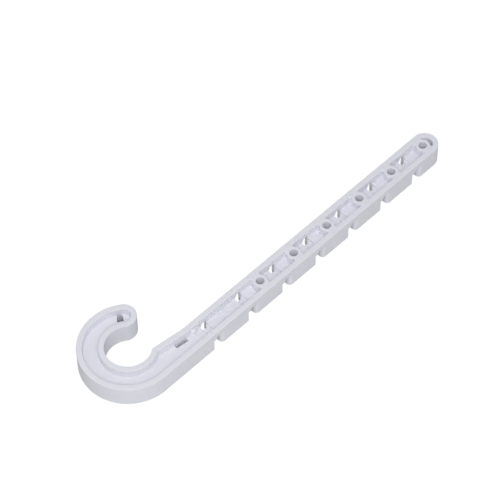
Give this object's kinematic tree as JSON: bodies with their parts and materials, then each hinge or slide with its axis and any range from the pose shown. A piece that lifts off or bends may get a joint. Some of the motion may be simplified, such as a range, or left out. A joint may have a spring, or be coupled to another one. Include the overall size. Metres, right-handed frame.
{
  "type": "hook pipe hanger",
  "caption": "One-piece plastic J-hook pipe hanger: an open pipe hook on a long channel arm with a row of bossed nail holes and snap-off notches.",
  "frame": {"origin": "middle of the hanger's footprint, on the plane it lies on with its open channel upward", "axes": "+X along the arm from the hook to the rounded tip, +Y the side of the arm that the hook rises on, +Z out of the open side of the channel"},
  "size_m": [0.24, 0.0538, 0.0132],
  "materials": {
    "white_plastic": "satin as-moulded white plastic, with a faint cool tint"
  },
  "bodies": {
    "root": {"hook_hanger_moulding": "white_plastic"}
  },
  "joints": []
}
